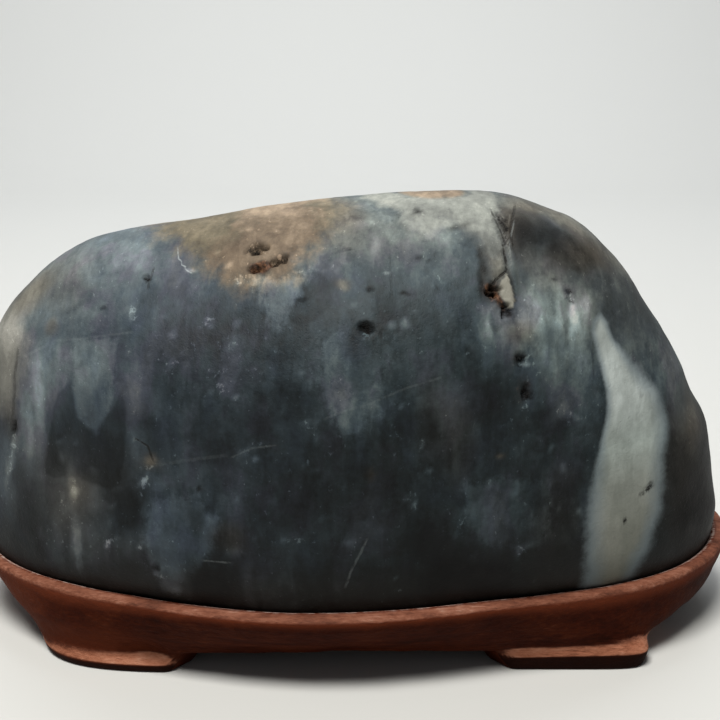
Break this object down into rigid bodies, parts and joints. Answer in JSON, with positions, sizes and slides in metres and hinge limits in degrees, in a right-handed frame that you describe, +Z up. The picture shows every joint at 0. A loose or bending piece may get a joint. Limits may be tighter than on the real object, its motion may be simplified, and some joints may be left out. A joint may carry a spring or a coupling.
{
  "type": "suiseki",
  "caption": "Long water-worn viewing stone with a sloping top, worn pits and an open fissure, resting in a carved wooden stand with lipped feet.",
  "frame": {"origin": "under the middle of the bounding box, on the surface that the feet stand on", "axes": "+Z up, +X to the right along the stone's length, -Y towards the show face"},
  "size_m": [0.275, 0.1432, 0.1479],
  "materials": {
    "stone": "satin, water-worn",
    "stand": "matte red-brown stain"
  },
  "bodies": {
    "root": {"stone": "stone", "stand": "stand"}
  },
  "joints": []
}
